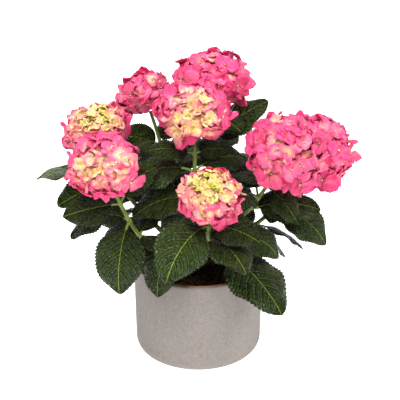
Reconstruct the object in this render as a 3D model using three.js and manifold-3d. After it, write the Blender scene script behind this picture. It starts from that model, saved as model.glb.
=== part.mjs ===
// A potted hydrangea: eight mophead blooms and thirteen leafy shoots over a plain stoneware pot.
// Millimetres, +Z up; the origin is the middle of the pot's flat underside.
import * as THREE from 'three';
import { mergeVertices } from 'three/addons/utils/BufferGeometryUtils.js';
import Module from 'manifold-3d';

const wasm = await Module();
wasm.setup();

// ---------------------------------------------------------------- driving dimensions
const GAP = 0.3; // air between two pieces that sit against each other

const POT_HEIGHT = 143;
const POT_RIM_RADIUS = 95;
const POT_BASE_RADIUS = 93;
const POT_CORNER = 18; // rounding between wall and underside
const POT_WALL = 8;
const POT_FLOOR = 12;
const SOIL_LEVEL = 126;

const FOOT_CENTRE = 129; // height of the knuckle that the shoots leave
const FOOT_RADIUS = 18;
const FOOT_FLARE = 24; // radius where the woody foot is cut at soil level
const FOOT_LIP = [3.5, 1.2]; // how far the flare draws in, and how high, before the knuckle
const SOIL_SLOPE = 14; // width of the soil's border, which falls to the wall
const SOIL_FALL = 3;
const POT_FLARE = 1.4; // how much wider the soil is at the top than at the pot's base

const STEM_RADIUS = 3.8; // a shoot where it leaves the foot
const STEM_TIP_RADIUS = 2.5; // and under its bloom
const STEM_SIDES = 6;
const STEM_PULL = [0.38, 0.34]; // how far the first and last directions hold, over the stem's span
const STEM_END = 0.7; // how far under a bloom's middle its stem ends, over the bloom's depth
const PAIR_REACH = 7; // stem above and below its leaves that is one piece with them

const PETIOLE = 0.16; // share of a leaf's length that is its stalk
const PETIOLE_RADIUS = 1.7;
const LEAF_BREADTH = 0.64; // blade breadth over whole length
const BLADE_ROOT = 0.55; // powers of the blade's outline towards its root and its tip
const BLADE_TIP = 0.8;
const LEAF_HALF_THICKNESS = 1.15;
const LEAF_ROWS = 8;
const LEAF_FOLD = 0.25; // how far the two halves of a blade rise from the midrib
const LEAF_ARCH = 0.35; // how far the margins fall back

const FLORETS = 20; // on a round bloom of the next radius
const FLORETS_ON = 56;
const FLORETS_AT_REST = 0.35; // share of the florets that even a flat bloom keeps
const FLORET_SEAT = 0.96; // how far out the florets stand, over the bloom's size
const FLORET_RADIUS = 14.5;
const FLORET_NOTCH = 0.64; // radius between two sepals, over the floret's radius
const FLORET_ROOT = 6; // how deep its stalk sinks in the core
const FLORET_DOME = 1.2;
const BLOOM_EDGE = 122; // polar angle of the last florets, in degrees
const CORE = 0.86; // the fused core over the bloom
const PRESSED = 8; // blooms nearer than this press flat against each other
const GOLDEN_ANGLE = Math.PI * (3 - Math.sqrt(5));

// Each shoot leaves the woody foot at an azimuth and rise, and its stem ends under the bloom, or at
// the tip of a leafy shoot. Leans are measured from the vertical. Pairs are [height, first heading].
const SHOOTS = [
  { name: 'back', azimuth: 60, rise: 72, end: [21, 75, 393], wide: 59, deep: 47, lean: [70, 8],
    pairs: [[0.34, 120], [0.48, 200], [0.62, 255], [0.72, 21], [0.86, 130]] },
  { name: 'top', azimuth: 250, rise: 76, end: [-6, -33, 380], wide: 57, deep: 43, lean: [260, 8],
    pairs: [[0.34, 60], [0.48, 196], [0.70, 211], [0.84, 180]] },
  { name: 'back_left', azimuth: 135, rise: 58, end: [-81, 108, 360], wide: 45, deep: 36, lean: [165, 20],
    pairs: [[0.36, 200], [0.52, 110], [0.64, 180], [0.74, 216]] },
  { name: 'left', azimuth: 173, rise: 45, end: [-148, 15, 340], wide: 52, deep: 37, lean: [175, 16],
    pairs: [[0.40, 100], [0.60, 190], [0.72, 212], [0.82, 202]] },
  { name: 'front_left', azimuth: 212, rise: 22, end: [-128, -90, 325], wide: 54, deep: 47, lean: [215, 22],
    pairs: [[0.30, 160], [0.52, 60], [0.68, 255], [0.84, 207]] },
  { name: 'front', azimuth: 280, rise: 40, end: [16, -130, 298], wide: 50, deep: 37, lean: [275, 14],
    pairs: [[0.40, 30], [0.62, 110], [0.85, 220]] },
  { name: 'front_right', azimuth: 346, rise: 56, end: [122, -42, 326], wide: 60, deep: 58, lean: [335, 26],
    pairs: [[0.46, 312], [0.58, 343], [0.74, 70], [0.88, 313]] },
  { name: 'right', azimuth: 16, rise: 32, end: [170, 44, 294], wide: 60, deep: 58, lean: [15, 30],
    pairs: [[0.44, 349], [0.60, 338], [0.74, 60], [0.88, 330]] },
  { name: 'low_right', azimuth: 318, rise: 30, end: [44, -62, 205], lean: [309, 25],
    pairs: [[0.62, 318], [0.98, 20]] },
  { name: 'low_left', azimuth: 240, rise: 44, end: [-34, -62, 198], lean: [238, 25],
    pairs: [[0.60, 200], [0.98, 285]] },
  { name: 'low_back', azimuth: 100, rise: 36, end: [-12, 62, 218], lean: [100, 25],
    pairs: [[0.55, 60], [0.98, 150]] },
  { name: 'low_far_right', azimuth: 55, rise: 36, end: [58, 62, 208], lean: [48, 30],
    pairs: [[0.55, 350], [0.98, 80]] },
  { name: 'low_far_left', azimuth: 152, rise: 24, end: [-66, 48, 215], lean: [150, 30],
    pairs: [[0.55, 100], [0.98, 190]] },
];

// Leaves set by hand: [shoot, pair, side] -> [heading, rise, length, fall, roll], degrees and mm.
// They are placed first, in this order, and the rule below gives all the others.
const CHOSEN = [
  ['front', 2, 0, 235, 15, 120, 80, -30],
  ['front', 2, 1, 330, 15, 80, 40, 35],
  ['low_right', 0, 0, 310, 0, 138, 45, 5],
  ['front_left', 2, 0, 255, -15, 115, 90, -10],
  ['front_right', 3, 0, 320, -20, 72, 35, 10],
  ['front_right', 1, 0, 15, 20, 110, 45, 25],
  ['right', 1, 0, 350, 10, 104, 80, 30],
  ['right', 0, 0, 0, 0, 85, 45, -15],
  ['low_right', 1, 0, 355, 25, 85, 95, 30],
  ['back', 3, 0, 10, 50, 107, 30, 20],
  ['front_left', 3, 0, 195, 0, 82, 15, -50],
  ['front_left', 2, 1, 150, 20, 55, 60, -50],
  ['top', 2, 0, 185, 25, 125, 90, -15],
  ['low_left', 1, 0, 245, 0, 92, 95, 0],
  ['left', 3, 0, 197, 18, 110, 40, 40],
  ['left', 2, 0, 205, 10, 100, 25, -20],
  ['left', 1, 0, 205, -10, 105, 30, 0],
  ['top', 3, 0, 195, 28, 74, 40, -15],
  ['top', 3, 1, 30, 15, 52, 40, 45],
  ['top', 2, 1, 25, 38, 92, 75, 25],
  ['back_left', 3, 0, 200, 35, 70, 30, -75],
  ['back_left', 3, 1, 60, 60, 62, 20, 0],
  ['top', 1, 0, 196, 18, 98, 60, -20],
  ['top', 1, 1, 300, 24, 86, 60, 0],
  ['back', 2, 0, 240, 36, 86, 50, 0],
  ['front_left', 1, 0, 60, 40, 52, 30, 0],
  ['front_left', 1, 1, 320, 20, 62, 60, 0],
];
// The rule's leaf at each pair, counted from the foot of the shoot.
const RULE_LENGTHS = [118, 112, 98, 78, 78];
const RULE_RISES = [14, 26, 34, 38, 38];
const RULE_FALLS = [70, 66, 60, 54, 54];
// Where a leaf touches something it is turned and raised by these steps, then left out.
const CHOSEN_TURNS = [[0, 0, 1], [0, 7, 1], [0, -7, 1], [9, 0, 1], [-9, 0, 1], [9, 7, 1], [-9, 7, 1],
  [9, -7, 1], [-9, -7, 1], [0, 14, 1], [18, 0, 1], [-18, 0, 1], [18, 10, 1], [-18, 10, 1], [0, -14, 1]];
const RULE_TURNS = [1, 0.82, 0.66].flatMap((size) => [0, 14, -14, 28, -28, 42, -42, 56, -56].flatMap(
  (turn) => [0, 12, -12, 24].map((raise) => [turn, raise, size])));

const LEAF_AIR = 5; // nearest that two leaves come, sampled on a grid
const LEAF_NEAR = 11; // nearer than this, a leaf keeps to one side of the other
const LEAF_FAR = 8; // leaves further apart than this over their reach aren't compared
const LIMB_AIR = 9.5; // leaf to the middle line of a stem
const BLOOM_AIR = 3;
const POT_AIR = 4;
const SOIL_AIR = 5;
const GROUND_AIR = 6;
const HANG = 38; // how far below the rim a leaf of the rule may hang, behind
const KEEP_UP = 55; // and how far over the rim it stays in front of the pot
const SAMPLES_ALONG = 16;
const SAMPLES_ACROSS = 9;
const LINE_POINTS = 44; // along a stem's middle line

// ---------------------------------------------------------------- colours
const finish = (color, roughness) => new THREE.MeshStandardMaterial({ color, roughness, metalness: 0 });
const stoneware = finish(0xb9b0a8, 0.9);
const compost = finish(0x241a14, 1);
const bark = finish(0x6b5a3c, 0.9);
const greenStem = finish(0x7d9a3c, 0.6);
const foliage = finish(0x2c5a2a, 0.45);
const pinkBloom = finish(0xe8679f, 0.7);
const creamBloom = finish(0xe3d69a, 0.7);
const PALE_BLOOMS = ['left', 'front'];

// ---------------------------------------------------------------- small maths
const radians = THREE.MathUtils.degToRad;
const vector = (x, y, z) => new THREE.Vector3(x, y, z);

/** Unit vector at a compass heading (counter-clockwise from +X) and a rise above the level. */
function direction(heading, rise) {
  const [turn, tilt] = [radians(heading), radians(rise)];
  return vector(Math.cos(tilt) * Math.cos(turn), Math.cos(tilt) * Math.sin(turn), Math.sin(tilt));
}

/** Park-Miller generator: the same draws every run. */
let seed = 1907;
function draw(low, high) {
  seed = (seed * 16807) % 2147483647;
  return low + (high - low) * seed / 2147483647;
}

/** Moves every vertex of a geometry by place(x, y, z) and gives a closed solid of shared vertices. */
function reshape(geometry, place) {
  geometry.deleteAttribute('normal');
  geometry.deleteAttribute('uv');
  const points = geometry.attributes.position;
  for (let i = 0; i < points.count; i++) {
    const p = place(points.getX(i), points.getY(i), points.getZ(i));
    points.setXYZ(i, p.x, p.y, p.z);
  }
  return mergeVertices(geometry, 1e-4);
}

/** three.js geometry -> solid; triangles that closed up at a pole are left out. */
function toSolid(geometry) {
  const index = geometry.index.array;
  const triangles = [];
  for (let i = 0; i < index.length; i += 3) {
    const [a, b, c] = index.slice(i, i + 3);
    if (a !== b && b !== c && c !== a) triangles.push(a, b, c);
  }
  return new wasm.Manifold(new wasm.Mesh({ numProp: 3,
    vertProperties: new Float32Array(geometry.attributes.position.array),
    triVerts: new Uint32Array(triangles) }));
}

/** Solid -> three.js geometry. */
function toGeometry(solid) {
  const mesh = solid.getMesh();
  const geometry = new THREE.BufferGeometry();
  geometry.setAttribute('position', new THREE.BufferAttribute(mesh.vertProperties, 3));
  geometry.setIndex(new THREE.BufferAttribute(mesh.triVerts, 1));
  return geometry;
}

/** Fuses pieces into one body: the largest, with sealed hollows filled and loose scraps dropped. */
function fuse(pieces) {
  const joined = pieces.reduce((whole, piece) => whole.add(piece));
  return joined.decompose().reduce((most, part) => (part.volume() > most.volume() ? part : most));
}

// ---------------------------------------------------------------- stems
/** The line a shoot's stem follows: out of the foot at its rise, and into its end along the lean. */
function stemCurve(shoot) {
  const away = direction(shoot.azimuth, shoot.rise);
  const axis = direction(shoot.lean[0], 90 - shoot.lean[1]);
  const start = vector(0, 0, FOOT_CENTRE).addScaledVector(away, FOOT_RADIUS + GAP);
  const end = vector(...shoot.end).addScaledVector(axis, -STEM_END * (shoot.deep ?? 0));
  const [out, into] = STEM_PULL.map((pull) => pull * start.distanceTo(end));
  return new THREE.CubicBezierCurve3(start, start.clone().addScaledVector(away, out),
    end.clone().addScaledVector(axis, -into), end);
}

/** Radius of a shoot at a height: an even taper from the foot to the bloom. */
const stemRadius = (height) => THREE.MathUtils.lerp(STEM_RADIUS, STEM_TIP_RADIUS, height);

/** A tapering limb with flat ends along part of a curve. */
function limb(shoot, from, to, radiusAt, rings) {
  const sideways = vector(-Math.sin(radians(shoot.azimuth)), Math.cos(radians(shoot.azimuth)), 0);
  const round = new THREE.CylinderGeometry(1, 1, 1, STEM_SIDES, rings);
  return reshape(round, (x, y, z) => {
    const t = THREE.MathUtils.lerp(from, to, y + 0.5);
    const along = shoot.curve.getTangent(t);
    const across = sideways.clone().addScaledVector(along, -sideways.dot(along)).normalize();
    const out = across.clone().cross(along);
    const radius = radiusAt(t);
    return shoot.curve.getPoint(t).addScaledVector(across, x * radius).addScaledVector(out, z * radius);
  });
}

// ---------------------------------------------------------------- leaves
/** Half breadth of a blade at a share of its length: ovate, widest near two fifths, with a pointed tip. */
const ovate = (share) => share ** BLADE_ROOT * (1 - share) ** BLADE_TIP;
const widest = ovate(BLADE_ROOT / (BLADE_ROOT + BLADE_TIP));
const halfBreadth = (leaf, share) => 0.5 * leaf.breadth * ovate(share) / widest;

/** Midrib point and directions at s from 0 (on the stem) to 1 (tip); the midrib is an arc that falls. */
function midrib(leaf, s) {
  const rise = radians(leaf.rise);
  const fall = radians(leaf.fall);
  const heading = radians(leaf.heading);
  const pitch = rise - fall * s;
  const out = leaf.length * (Math.sin(rise) - Math.sin(pitch)) / fall;
  const up = leaf.length * (Math.cos(pitch) - Math.cos(rise)) / fall;
  const point = vector(out * Math.cos(heading), out * Math.sin(heading), up).add(leaf.base);
  const along = direction(leaf.heading, THREE.MathUtils.radToDeg(pitch));
  const level = vector(-Math.sin(heading), Math.cos(heading), 0);
  const above = along.clone().cross(level);
  const across = level.multiplyScalar(Math.cos(radians(leaf.roll)))
    .addScaledVector(above, Math.sin(radians(leaf.roll)));
  return { point, along, across, normal: along.clone().cross(across) };
}

/** Point of the blade: share from 0 at its root to 1 at its tip, side from -1 to 1 across it. */
function bladePoint(leaf, share, side) {
  const rib = midrib(leaf, PETIOLE + (1 - PETIOLE) * share);
  const half = halfBreadth(leaf, share);
  const lift = half * (LEAF_FOLD * Math.abs(side) - LEAF_ARCH * side * side);
  return { point: rib.point.addScaledVector(rib.across, half * side).addScaledVector(rib.normal, lift),
    normal: rib.normal };
}

/** A grid of points over the blade, used to keep leaves clear of each other. */
function sampled(leaf) {
  leaf.samples = [];
  for (let i = 0; i < SAMPLES_ALONG; i++) {
    const share = 0.02 + 0.98 * i / (SAMPLES_ALONG - 1);
    for (let j = 0; j < SAMPLES_ACROSS; j++) {
      leaf.samples.push({ row: i, ...bladePoint(leaf, share, -1 + 2 * j / (SAMPLES_ACROSS - 1)) });
    }
  }
  leaf.middle = leaf.samples.reduce((sum, s) => sum.add(s.point), vector(0, 0, 0))
    .divideScalar(leaf.samples.length);
  leaf.reach = Math.max(...leaf.samples.map((s) => s.point.distanceTo(leaf.middle)));
  return leaf;
}

/** True where a point is in the pot's wall, in the soil or under the ground. */
function inPot(p) {
  const radius = Math.hypot(p.x, p.y);
  const inner = POT_RIM_RADIUS - POT_WALL - POT_AIR;
  const overWall = radius > inner && radius < POT_RIM_RADIUS + POT_AIR;
  return (p.z < POT_HEIGHT + POT_AIR && overWall)
    || (p.z < SOIL_LEVEL + SOIL_AIR && radius <= inner) || p.z < GROUND_AIR;
}

/** Leaves of the rule keep up: clear of the pot's front, and not far below its rim behind. */
const hangsLow = (p) => (p.z < POT_HEIGHT && p.y < 0) || p.z < POT_HEIGHT - HANG
  || (p.z < POT_HEIGHT + KEEP_UP && p.y < -POT_RIM_RADIUS);

/** True where a point lies in a bloom, or within its air. */
function inBloom(shoot, p) {
  const from = p.clone().sub(shoot.centre);
  const up = from.dot(shoot.axis);
  const out = Math.sqrt(Math.max(0, from.lengthSq() - up * up));
  return (up / (shoot.deep + BLOOM_AIR)) ** 2 + (out / (shoot.wide + BLOOM_AIR)) ** 2 < 1;
}

/** True where two leaves come too near, or one passes through the other: points on both its sides. */
function leavesMeet(leaf, other) {
  if (leaf.middle.distanceTo(other.middle) > leaf.reach + other.reach + LEAF_FAR) return false;
  const firstRow = leaf.shoot === other.shoot && leaf.pair === other.pair ? 2 : 0;
  let above = false;
  let below = false;
  for (const sample of leaf.samples) {
    if (sample.row < firstRow) continue;
    let nearest = Infinity;
    let height = 0;
    for (const target of other.samples) {
      const distance = sample.point.distanceTo(target.point);
      if (distance < nearest) {
        nearest = distance;
        height = sample.point.clone().sub(target.point).dot(target.normal);
      }
    }
    if (nearest < LEAF_AIR) return true;
    if (nearest < LEAF_NEAR) {
      above ||= height > 0;
      below ||= height < 0;
    }
  }
  return above && below;
}

/** True where a leaf has its space to itself. */
function fits(leaf, placed, shoots) {
  const points = leaf.samples.map((s) => s.point);
  if (points.some(inPot) || (leaf.byRule && points.some(hangsLow))) return false;
  for (const shoot of shoots) {
    if (shoot.wide && points.some((p) => inBloom(shoot, p))) return false;
    const firstRow = shoot === leaf.shoot ? 3 : 0;
    const touches = (s) => s.row >= firstRow && shoot.line.some((q) => q.distanceTo(s.point) < LIMB_AIR);
    if (leaf.samples.some(touches)) return false;
  }
  return !placed.some((other) => leavesMeet(leaf, other));
}

/** Grows every leaf: the chosen ones first, then a pair at each height by the rule. */
function growLeaves(shoots) {
  const waiting = [];
  for (const shoot of shoots) {
    shoot.pairs.forEach(([height, heading], pair) => {
      for (const side of [0, 1]) {
        const order = CHOSEN.findIndex((c) => c[0] === shoot.name && c[1] === pair && c[2] === side);
        waiting.push({ shoot, pair, side, height, heading, order: order < 0 ? CHOSEN.length : order });
      }
    });
  }
  waiting.sort((a, b) => a.order - b.order);
  const placed = [];
  for (const { shoot, pair, side, height, heading, order } of waiting) {
    const byRule = order === CHOSEN.length;
    const [turned, rise, length, fall, roll] = byRule
      ? [heading + 180 * side + draw(-12, 12), RULE_RISES[pair] + draw(-8, 8),
        RULE_LENGTHS[pair] * draw(0.88, 1.06), RULE_FALLS[pair] + draw(-10, 10), draw(-12, 12)]
      : CHOSEN[order].slice(3);
    for (const [turn, raise, size] of byRule ? RULE_TURNS : CHOSEN_TURNS) {
      const leaf = sampled({ shoot, pair, byRule, base: shoot.curve.getPoint(height),
        heading: turned + turn, rise: rise + raise, length: length * size, fall, roll,
        breadth: LEAF_BREADTH * length * size });
      if (!fits(leaf, placed, shoots)) continue;
      placed.push(leaf);
      break;
    }
  }
  return placed;
}

/** One leaf as a solid: a stalk rooted in the stem's middle, widening to a blade with sharp margins. */
function leafSolid(leaf) {
  const round = new THREE.SphereGeometry(1, 4, LEAF_ROWS);
  return toSolid(reshape(round, (x, y, z) => {
    const polar = Math.acos(THREE.MathUtils.clamp(y, -1, 1));
    const s = polar / Math.PI;
    const size = Math.sin(polar);
    if (size < 1e-6) return midrib(leaf, s).point;
    const side = x / size;
    const face = z / size;
    const share = (s - PETIOLE) / (1 - PETIOLE);
    const half = Math.max(PETIOLE_RADIUS, share > 0 ? halfBreadth(leaf, share) : 0);
    const thick = share > 0 ? LEAF_HALF_THICKNESS : PETIOLE_RADIUS;
    const rib = midrib(leaf, s);
    const lift = half * (LEAF_FOLD - LEAF_ARCH) * Math.abs(side) + thick * face;
    return rib.point.addScaledVector(rib.across, half * side).addScaledVector(rib.normal, lift);
  }));
}

// ---------------------------------------------------------------- blooms
/** Two directions that make a right-handed set with an axis. */
function around(axis) {
  const a = vector(axis.y, -axis.x, 0).normalize();
  return [a, a.clone().cross(axis)];
}

/** A floret: four sepals round a low dome, on a tapering stalk that roots in the core. */
function floretSolid(place, outward, depth, turn) {
  const [a, b] = around(outward);
  const round = new THREE.SphereGeometry(1, 8, 2);
  return toSolid(reshape(round, (x, y, z) => {
    const angle = Math.atan2(z, x);
    const lobe = Math.abs(Math.cos(2 * angle)) > 0.5;
    const radius = Math.hypot(x, z) > 0.5 ? FLORET_RADIUS * (lobe ? 1 : FLORET_NOTCH) : 0;
    const height = y > 0.5 ? FLORET_DOME : (y < -0.5 ? -depth : 0);
    return place.clone().addScaledVector(a, radius * Math.cos(angle + turn))
      .addScaledVector(outward, height).addScaledVector(b, radius * Math.sin(angle + turn));
  }));
}

/** An oblate core with florets spread over it along a spiral, and the stalk below. */
function bloomSolid(shoot, leafTop) {
  const { centre, axis } = shoot;
  const [a, b] = around(axis);
  const wide = FLORET_SEAT * shoot.wide;
  const deep = FLORET_SEAT * shoot.deep;
  const core = reshape(new THREE.SphereGeometry(CORE, 8, 6), (x, y, z) => centre.clone()
    .addScaledVector(a, x * wide).addScaledVector(axis, y * deep).addScaledVector(b, z * wide));
  const pieces = [toSolid(core), toSolid(limb(shoot, leafTop, 1, stemRadius, 3))];
  const lowest = 1 - Math.cos(radians(BLOOM_EDGE));
  const roundness = THREE.MathUtils.lerp(FLORETS_AT_REST, 1, shoot.deep / shoot.wide);
  const count = Math.round(FLORETS * (shoot.wide / FLORETS_ON) ** 2 * roundness);
  for (let i = 0; i < count; i++) {
    const up = 1 - lowest * (i + 0.5) / count;
    const out = Math.sqrt(1 - up * up);
    const angle = i * GOLDEN_ANGLE;
    const [x, z] = [out * Math.cos(angle), out * Math.sin(angle)];
    const place = centre.clone().addScaledVector(a, x * wide).addScaledVector(axis, up * deep)
      .addScaledVector(b, z * wide);
    const outward = vector(0, 0, 0).addScaledVector(a, x / wide).addScaledVector(axis, up / deep)
      .addScaledVector(b, z / wide).normalize();
    const depth = (1 - CORE) * place.distanceTo(centre) + FLORET_ROOT;
    pieces.push(floretSolid(place, outward, depth, draw(0, Math.PI / 2)));
  }
  return fuse(pieces);
}

/** Where two blooms press together, each is cut back to a plane between them. */
function partBlooms(shoots) {
  const blooms = shoots.filter((shoot) => shoot.wide);
  const size = 2 * POT_HEIGHT; // of a block larger than any bloom
  for (const one of blooms) {
    for (const other of blooms) {
      const apart = other.centre.clone().sub(one.centre);
      const distance = apart.length();
      if (one === other || distance > one.wide + other.wide + PRESSED) continue;
      const share = one.wide / (one.wide + other.wide);
      const facing = new THREE.Quaternion().setFromUnitVectors(vector(0, 0, 1), apart.normalize());
      const middle = one.centre.clone().addScaledVector(apart, share * distance - GAP / 2 + size / 2);
      const beyond = reshape(new THREE.BoxGeometry(size, size, size),
        (x, y, z) => vector(x, y, z).applyQuaternion(facing).add(middle));
      one.bloom = one.bloom.subtract(toSolid(beyond));
    }
  }
  for (const shoot of blooms) shoot.bloom = fuse([shoot.bloom]);
}

// ---------------------------------------------------------------- pot, soil and woody foot
/** A solid of revolution about Z from [radius, height] points that start and end on the axis. */
function turned(profile, sides) {
  const points = profile.map(([radius, height]) => new THREE.Vector2(radius, height));
  return reshape(new THREE.LatheGeometry(points, sides), (x, y, z) => vector(x, -z, y));
}

/** Points of an arc in a profile. */
function arc(radius, height, size, from, to, steps) {
  return Array.from({ length: steps + 1 }, (_, i) => {
    const angle = radians(THREE.MathUtils.lerp(from, to, i / steps));
    return [radius + size * Math.cos(angle), height + size * Math.sin(angle)];
  });
}

function potProfile() {
  const lip = POT_WALL / 2;
  const inner = POT_CORNER - POT_WALL;
  return [[0, 0],
    ...arc(POT_BASE_RADIUS - POT_CORNER, POT_CORNER, POT_CORNER, -90, 0, 5),
    ...arc(POT_RIM_RADIUS - lip, POT_HEIGHT - lip, lip, 0, 180, 4),
    ...arc(POT_BASE_RADIUS - POT_WALL - inner, POT_FLOOR + inner, inner, 0, -90, 3),
    [0, POT_FLOOR]];
}

function soilProfile() {
  const wall = POT_BASE_RADIUS - POT_WALL - GAP;
  const corner = POT_CORNER - POT_WALL;
  return [[0, POT_FLOOR + GAP],
    ...arc(wall - corner, POT_FLOOR + GAP + corner, corner, -90, 0, 3),
    [wall + POT_FLARE, SOIL_LEVEL - SOIL_FALL], [wall - SOIL_SLOPE, SOIL_LEVEL],
    [FOOT_FLARE + SOIL_SLOPE, SOIL_LEVEL], [0, SOIL_LEVEL]];
}

/** The woody foot: a flat cut at soil level, a flare, and the knuckle that the shoots leave. */
function footProfile() {
  const ground = SOIL_LEVEL + GAP;
  return [[0, ground], [FOOT_FLARE, ground], [FOOT_FLARE - FOOT_LIP[0], ground + FOOT_LIP[1]],
    ...arc(0, FOOT_CENTRE, FOOT_RADIUS, 8, 90, 6)];
}

// ---------------------------------------------------------------- assembly
const plant = new THREE.Group();

function addMesh(name, geometry, material) {
  const mesh = new THREE.Mesh(geometry, material);
  mesh.name = name;
  plant.add(mesh);
}

const shoots = SHOOTS.map((shoot) => {
  const curve = stemCurve(shoot);
  const axis = direction(shoot.lean[0], 90 - shoot.lean[1]);
  return { ...shoot, curve, axis, centre: vector(...shoot.end), line: curve.getPoints(LINE_POINTS) };
});
const leaves = growLeaves(shoots);

addMesh('pot', turned(potProfile(), 36), stoneware);
addMesh('soil', turned(soilProfile(), 36), compost);
addMesh('woody_foot', turned(footProfile(), 18), bark);

for (const shoot of shoots) {
  const own = leaves.filter((leaf) => leaf.shoot === shoot);
  const length = shoot.curve.getLength();
  const air = GAP / length;
  const bloomed = Boolean(shoot.wide);
  const leafFoot = shoot.pairs[0][0] - PAIR_REACH / length;
  const leafTop = bloomed ? shoot.pairs.at(-1)[0] + PAIR_REACH / length : 1;
  addMesh(`stem_${shoot.name}`, limb(shoot, 0, leafFoot - air, stemRadius, 6), greenStem);
  const leafyStem = toSolid(limb(shoot, leafFoot, leafTop - air, stemRadius, 9));
  const solid = fuse([leafyStem, ...own.map(leafSolid)]);
  addMesh(`leaves_${shoot.name}`, toGeometry(solid), foliage);
  if (bloomed) shoot.bloom = bloomSolid(shoot, leafTop);
}
partBlooms(shoots);
for (const shoot of shoots.filter((s) => s.wide)) {
  addMesh(`bloom_${shoot.name}`, toGeometry(shoot.bloom),
    PALE_BLOOMS.includes(shoot.name) ? creamBloom : pinkBloom);
}

export default plant;
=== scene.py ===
# A potted hydrangea in bloom: eight mophead blooms and thirteen leafy shoots over a plain stoneware
# pot. The frame is in metres, +Z up, with its origin in the middle of the pot's flat underside.
# Sizes are written in millimetres, and a mesh is scaled by MM when it is made.
import math

import bpy
import numpy as np
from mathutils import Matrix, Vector


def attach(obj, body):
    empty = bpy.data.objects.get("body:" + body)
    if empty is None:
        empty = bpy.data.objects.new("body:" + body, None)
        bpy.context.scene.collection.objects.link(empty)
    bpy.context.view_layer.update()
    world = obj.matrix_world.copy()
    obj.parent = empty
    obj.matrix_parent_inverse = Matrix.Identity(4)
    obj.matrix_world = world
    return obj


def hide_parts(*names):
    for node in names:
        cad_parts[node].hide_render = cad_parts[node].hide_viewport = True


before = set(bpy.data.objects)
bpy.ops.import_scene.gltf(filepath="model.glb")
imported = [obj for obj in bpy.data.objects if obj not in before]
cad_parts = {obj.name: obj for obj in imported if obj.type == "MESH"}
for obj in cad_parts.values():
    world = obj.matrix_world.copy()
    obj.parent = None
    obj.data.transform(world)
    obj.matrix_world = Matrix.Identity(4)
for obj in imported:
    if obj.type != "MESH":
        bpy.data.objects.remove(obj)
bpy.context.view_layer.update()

MM = 0.001

# ---------------------------------------- pot
# The pot is thrown stoneware, 190 mm over the rim, with a full round lip and a rounded foot. The
# matt glaze is a warm grey with fine dark and pale specks, and stops at the lip, where the body
# shows browner.
POT_HEIGHT = 143
POT_RIM_RADIUS = 95
POT_BASE_RADIUS = 93
POT_CORNER = 18
POT_WALL = 8
POT_FLOOR = 12
SOIL_LEVEL = 126
POT_SIDES = 144
LIP_STEPS = 13


def arc(radius, height, size, start, end, steps):
    """Points of an arc in a profile: the centre plus size times the cosine and sine of each angle."""
    angle = np.radians(np.linspace(start, end, steps))
    return np.stack([radius + size * np.cos(angle), height + size * np.sin(angle)], -1)


def straight(start, end, steps):
    """Points spread evenly between two [radius, height] places, without the ends."""
    share = np.linspace(0, 1, steps + 2)[1:-1, None]
    return np.array(start) * (1 - share) + np.array(end) * share


def whole_turn(steps):
    """Angles evenly spread over a whole turn, from 0."""
    return np.linspace(0, 2 * np.pi, steps, endpoint=False)


def about_z(radius, angle, height):
    """Points at a radius, at an angle about the Z axis, and at a height."""
    return np.stack([radius * np.cos(angle), radius * np.sin(angle), height + 0 * angle], -1)


def unit(vectors):
    """Each vector over its own length."""
    return vectors / np.linalg.norm(vectors, axis=-1, keepdims=True)


def revolved(profile, sides):
    """Rings of points: each [radius, height] of a profile is carried round the Z axis."""
    return about_z(profile[:, 0, None], whole_turn(sides), profile[:, 1, None])[None]


def skin(rings):
    """Closed skins over rings of points, given as copies x rings x round x 3. The first and the last
    ring of a copy each become their middle point, and faces look out where the points run
    anticlockwise about the way the rings go. Returns the points, the faces (a triangle repeats its
    last corner), each face's ring and place round it, and the ring and place of each point."""
    copies, count, steps = rings.shape[:3]
    inner = rings[:, 1:-1].reshape(copies, -1, 3)
    points = np.concatenate([rings[:, :1].mean(2), inner, rings[:, -1:].mean(2)], 1)
    last = points.shape[1] - 1
    place = np.arange(steps)
    after = (place + 1) % steps
    ring = 1 + np.arange(count - 3)[:, None] * steps
    sides = np.stack([ring + place, ring + after, ring + steps + after, ring + steps + place], -1)
    end = last - steps
    first_cap = np.stack([0 * place, 1 + after, 1 + place, 1 + place], -1)
    last_cap = np.stack([0 * place + last, end + place, end + after, end + after], -1)
    faces = np.concatenate([first_cap, sides.reshape(-1, 4), last_cap])
    faces = faces + (np.arange(copies) * (last + 1))[:, None, None]
    face_ring = np.tile(np.repeat(np.arange(count - 1), steps), copies)
    face_place = np.tile(place, copies * (count - 1))
    point_ring = np.tile(np.r_[0, np.repeat(np.arange(1, count - 1), steps), count - 1], copies)
    point_place = np.tile(np.r_[0, np.tile(place, count - 2), 0], copies)
    return points.reshape(-1, 3), faces.reshape(-1, 4), (face_ring, face_place), (point_ring, point_place)


def added(name, data):
    """A new object of this data, in the scene."""
    made = bpy.data.objects.new(name, data)
    bpy.context.scene.collection.objects.link(made)
    return made


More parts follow.
